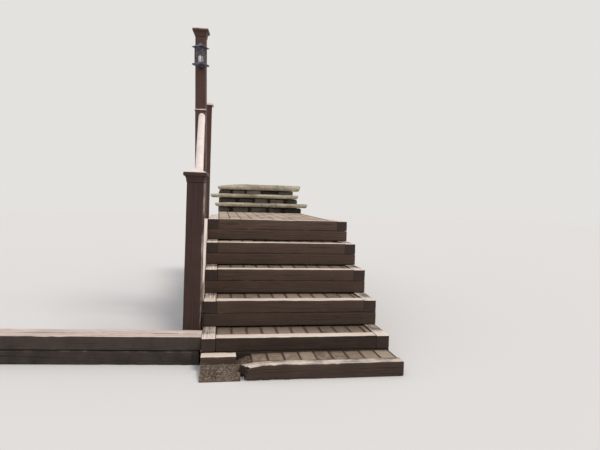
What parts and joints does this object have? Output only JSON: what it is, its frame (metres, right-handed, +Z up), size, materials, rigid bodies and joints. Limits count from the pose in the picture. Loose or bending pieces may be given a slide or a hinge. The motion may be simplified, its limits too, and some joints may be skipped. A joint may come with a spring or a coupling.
{
  "type": "garden steps",
  "caption": "Box steps of square timbers paved with brick, with a kerb, a handrail on posts, a lantern post, and rough stone slab steps behind a paved landing.",
  "frame": {"origin": "middle of the underside of the first riser's bottom timber, at its centre across the flight and from front to back", "axes": "+Z up, +Y into the slope along the flight, +X to the right across the flight as seen from its foot"},
  "size_m": [3.6757, 4.551, 2.5108],
  "materials": {
    "step_timber": "weathered brown stained softwood",
    "weathered_timber": "sun-greyed rough softwood",
    "post_wood": "dark brown stained softwood",
    "rail_wood": "pale worn painted softwood",
    "brick_paving": "weathered clay pavers on a bed of sand, earth in the joints",
    "rubble": "dark rough field stone",
    "flagstone": "split flagstone, weathered",
    "lantern_metal": "satin dark paint over sheet metal",
    "lantern_glass": "clear window glass",
    "candle_wax": "matt white wax"
  },
  "bodies": {
    "root": {"low_front_timber": "step_timber", "low_stub_timber": "step_timber", "low_fill": "brick_paving", "riser_1_lower": "step_timber", "riser_1_upper": "step_timber", "riser_2_lower": "step_timber", "riser_2_upper": "step_timber", "riser_3_lower": "step_timber", "riser_3_upper": "step_timber", "riser_4_lower": "step_timber", "riser_4_upper": "step_timber", "riser_5_lower": "step_timber", "riser_5_upper": "step_timber", "left_side_timbers": "step_timber", "right_side_timbers": "step_timber", "tread_fill_1": "brick_paving", "tread_fill_2": "brick_paving", "tread_fill_3": "brick_paving", "tread_fill_4": "brick_paving", "landing_fill": "brick_paving", "stone_riser_1": "rubble", "stone_riser_2": "rubble", "stone_riser_3": "rubble", "stone_slab_1": "flagstone", "stone_slab_2": "flagstone", "stone_slab_3": "flagstone", "kerb_upper_front": "weathered_timber", "kerb_upper_back": "weathered_timber", "kerb_lower_front": "weathered_timber", "kerb_lower_back": "weathered_timber", "kerb_end_block": "weathered_timber", "skirt_board": "weathered_timber", "newel_post": "post_wood", "newel_crown": "post_wood", "handrail": "rail_wood", "lamp_post": "post_wood", "lamp_post_band": "post_wood", "lamp_post_crown": "post_wood", "upper_post": "post_wood", "upper_post_cap": "post_wood", "lantern_base": "lantern_metal", "lantern_cage": "lantern_metal", "lantern_glass": "lantern_glass", "lantern_roof": "lantern_metal", "lantern_candle": "candle_wax"}
  },
  "joints": []
}
